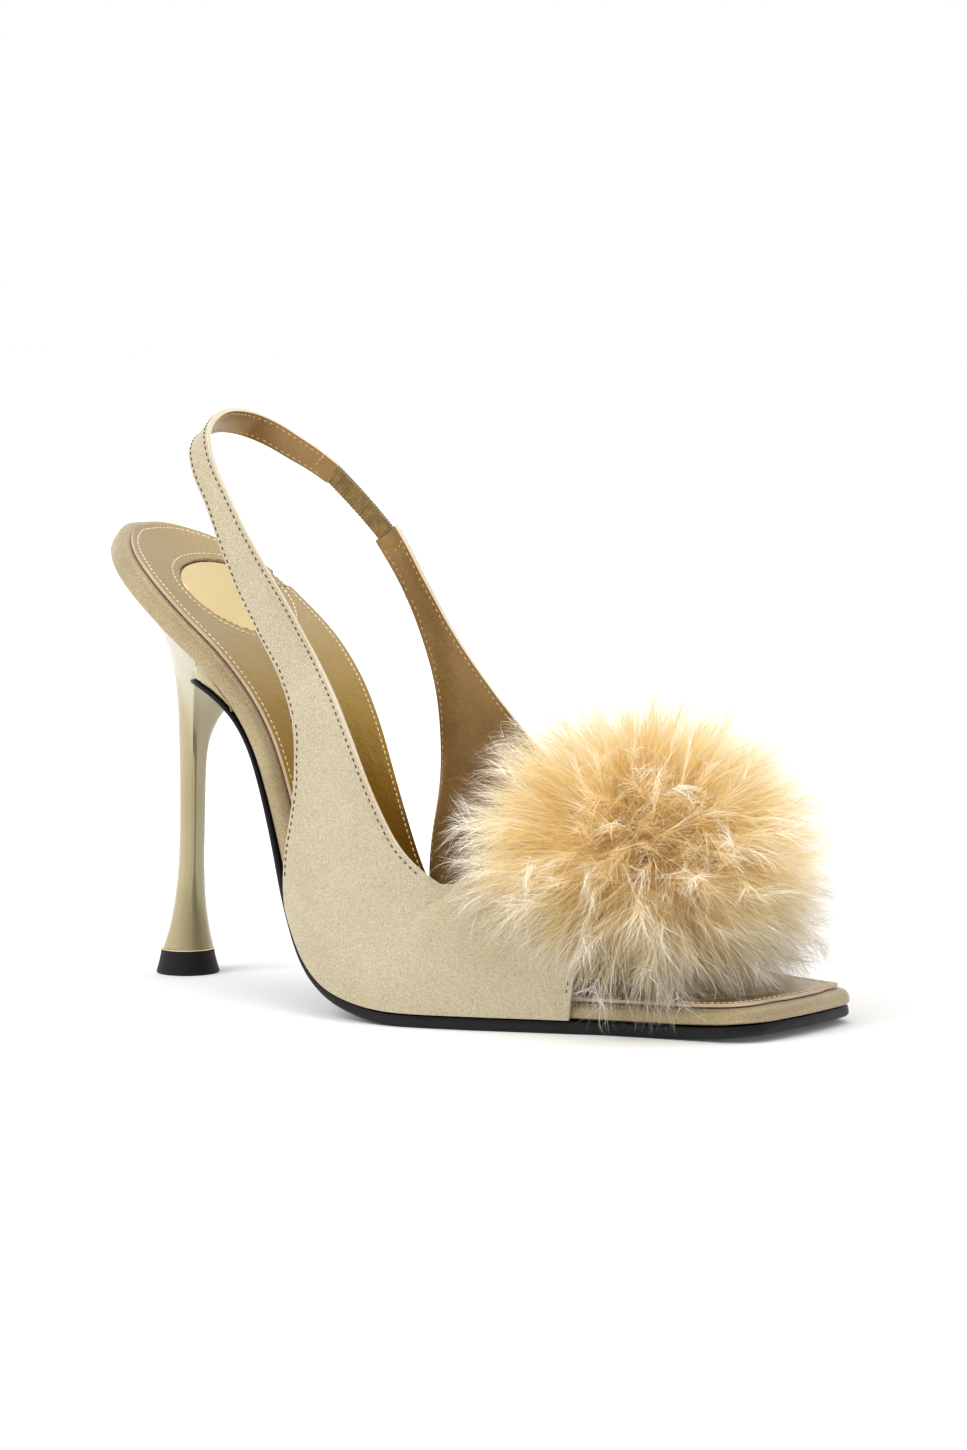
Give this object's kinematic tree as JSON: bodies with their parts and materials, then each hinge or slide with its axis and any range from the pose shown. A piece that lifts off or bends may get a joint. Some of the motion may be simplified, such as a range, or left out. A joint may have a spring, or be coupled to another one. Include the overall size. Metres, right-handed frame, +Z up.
{
  "type": "slingback sandal",
  "caption": "High-heeled slingback sandal with a one-piece upper, square open toe, slim stiletto heel and a feather pompom over the toes.",
  "frame": {"origin": "centre of the top lift's lower face, where the heel stands on the floor", "axes": "+X forward along the shoe to the toe, +Y to the wearer's left, which is this right shoe's inner side, +Z up"},
  "size_m": [0.1982, 0.084, 0.1417],
  "materials": {
    "outsole": "smooth black sole leather",
    "insole_board": "satin pulled over a padded rim",
    "sock_lining": "soft metallic leather with a stitched edge",
    "plaque": "polished gold-coloured metal, bare",
    "heel": "clear-lacquered pale gold",
    "top_lift": "matt black",
    "upper": "champagne satin with a metallic leather lining",
    "elastic": "ribbed woven elastic",
    "pompom": "fluffy down feathers"
  },
  "bodies": {
    "root": {"outsole": "outsole", "insole_board": "insole_board", "sock_lining": "sock_lining", "plaque": "plaque", "heel": "heel", "top_lift": "top_lift", "upper": "upper", "elastic": "elastic", "pompom": "pompom"}
  },
  "joints": []
}
